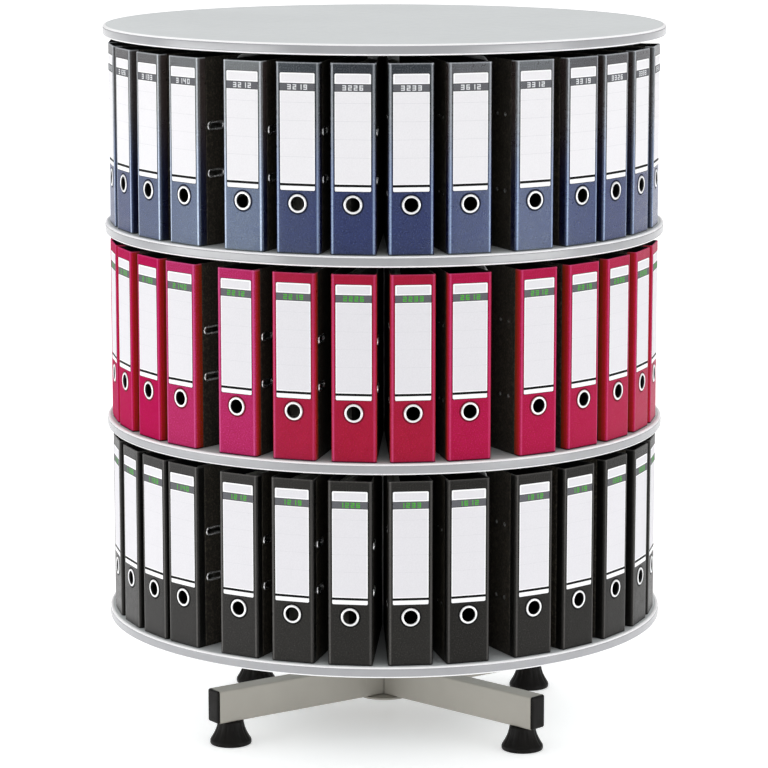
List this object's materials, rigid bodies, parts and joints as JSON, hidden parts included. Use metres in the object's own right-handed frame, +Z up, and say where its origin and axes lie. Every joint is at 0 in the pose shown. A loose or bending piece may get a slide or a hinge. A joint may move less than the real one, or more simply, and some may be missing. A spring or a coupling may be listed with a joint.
{
  "type": "rotary filing cabinet",
  "caption": "Round file carousel: stacked shelves that turn on a fixed column, loaded with lever-arch files, under a fixed round top, on an X base with levelling feet.",
  "frame": {"origin": "on the floor, on the axis of the column", "axes": "+Z up along the column, -Y towards the front of the cabinet"},
  "size_m": [1, 1, 1.27],
  "materials": {
    "base_paint": "satin warm grey powder coat",
    "pale_paint": "satin pale grey powder coat",
    "bare_steel": "zinc plated, satin",
    "nylon": "natural, matt",
    "black_plastic": "fine moulded grain",
    "board": "light grey melamine, satin",
    "edge_band": "light grey, semi-gloss",
    "file_bottom": "black embossed film",
    "file_middle": "crimson embossed film on the spine, black covers",
    "file_top": "blue embossed film on the spine, black covers"
  },
  "bodies": {
    "frame": {"base_beam_long": "base_paint", "base_beam_front_right": "base_paint", "base_beam_back_left": "base_paint", "end_cap_front_left": "black_plastic", "end_cap_front_right": "black_plastic", "end_cap_back_right": "black_plastic", "end_cap_back_left": "black_plastic", "base_hub_disc": "base_paint", "column_socket": "base_paint", "column_tube": "pale_paint", "top_bracket": "pale_paint", "top_plate": "board", "top_edge_band": "edge_band", "bearing_collar_bottom": "bare_steel", "bearing_collar_middle": "bare_steel", "bearing_collar_top": "bare_steel"},
    "tier_bottom": {"thrust_ring_bottom": "nylon", "hub_bottom": "bare_steel", "shelf_bottom": "board", "shelf_edge_band_bottom": "edge_band", "divider_star_bottom": "pale_paint", "files_bottom_left": "file_bottom", "files_bottom_front": "file_bottom", "files_bottom_right": "file_bottom", "files_bottom_back": "file_bottom", "files_bottom_back_left": "file_bottom"},
    "file_bottom": {"file_bottom_single": "file_bottom"},
    "tier_middle": {"thrust_ring_middle": "nylon", "hub_middle": "bare_steel", "shelf_middle": "board", "shelf_edge_band_middle": "edge_band", "divider_star_middle": "pale_paint", "files_middle_left": "file_middle", "files_middle_front": "file_middle", "files_middle_right": "file_middle", "files_middle_back": "file_middle", "files_middle_back_left": "file_middle"},
    "file_middle": {"file_middle_single": "file_middle"},
    "tier_top": {"thrust_ring_top": "nylon", "hub_top": "bare_steel", "shelf_top": "board", "shelf_edge_band_top": "edge_band", "divider_star_top": "pale_paint", "files_top_left": "file_top", "files_top_front": "file_top", "files_top_right": "file_top", "files_top_back": "file_top", "files_top_back_left": "file_top"},
    "file_top": {"file_top_single": "file_top"},
    "foot_front_left": {"foot_front_left": "black_plastic", "foot_stud_front_left": "bare_steel"},
    "foot_front_right": {"foot_front_right": "black_plastic", "foot_stud_front_right": "bare_steel"},
    "foot_back_right": {"foot_back_right": "black_plastic", "foot_stud_back_right": "bare_steel"},
    "foot_back_left": {"foot_back_left": "black_plastic", "foot_stud_back_left": "bare_steel"}
  },
  "joints": [
    {"name": "tier_bottom_turn", "type": "hinge", "parent": "frame", "child": "tier_bottom", "pos_m": [0, 0, 0.22], "axis": [0, 0, 1], "continuous": true},
    {"name": "file_bottom_pull", "type": "slide", "parent": "tier_bottom", "child": "file_bottom", "axis": [0.2907, -0.9568, 0], "range_m": [0, 0.26]},
    {"name": "tier_middle_turn", "type": "hinge", "parent": "frame", "child": "tier_middle", "pos_m": [0, 0, 0.57], "axis": [0, 0, 1], "continuous": true},
    {"name": "file_middle_pull", "type": "slide", "parent": "tier_middle", "child": "file_middle", "axis": [0.2924, -0.9563, 0], "range_m": [0, 0.26]},
    {"name": "tier_top_turn", "type": "hinge", "parent": "frame", "child": "tier_top", "pos_m": [0, 0, 0.92], "axis": [0, 0, 1], "continuous": true},
    {"name": "file_top_pull", "type": "slide", "parent": "tier_top", "child": "file_top", "axis": [0.2907, -0.9568, 0], "range_m": [0, 0.26]},
    {"name": "foot_front_left_level", "type": "slide", "parent": "frame", "child": "foot_front_left", "axis": [0, 0, -1], "range_m": [0, 0.012]},
    {"name": "foot_front_right_level", "type": "slide", "parent": "frame", "child": "foot_front_right", "axis": [0, 0, -1], "range_m": [0, 0.012]},
    {"name": "foot_back_right_level", "type": "slide", "parent": "frame", "child": "foot_back_right", "axis": [0, 0, -1], "range_m": [0, 0.012]},
    {"name": "foot_back_left_level", "type": "slide", "parent": "frame", "child": "foot_back_left", "axis": [0, 0, -1], "range_m": [0, 0.012]}
  ]
}
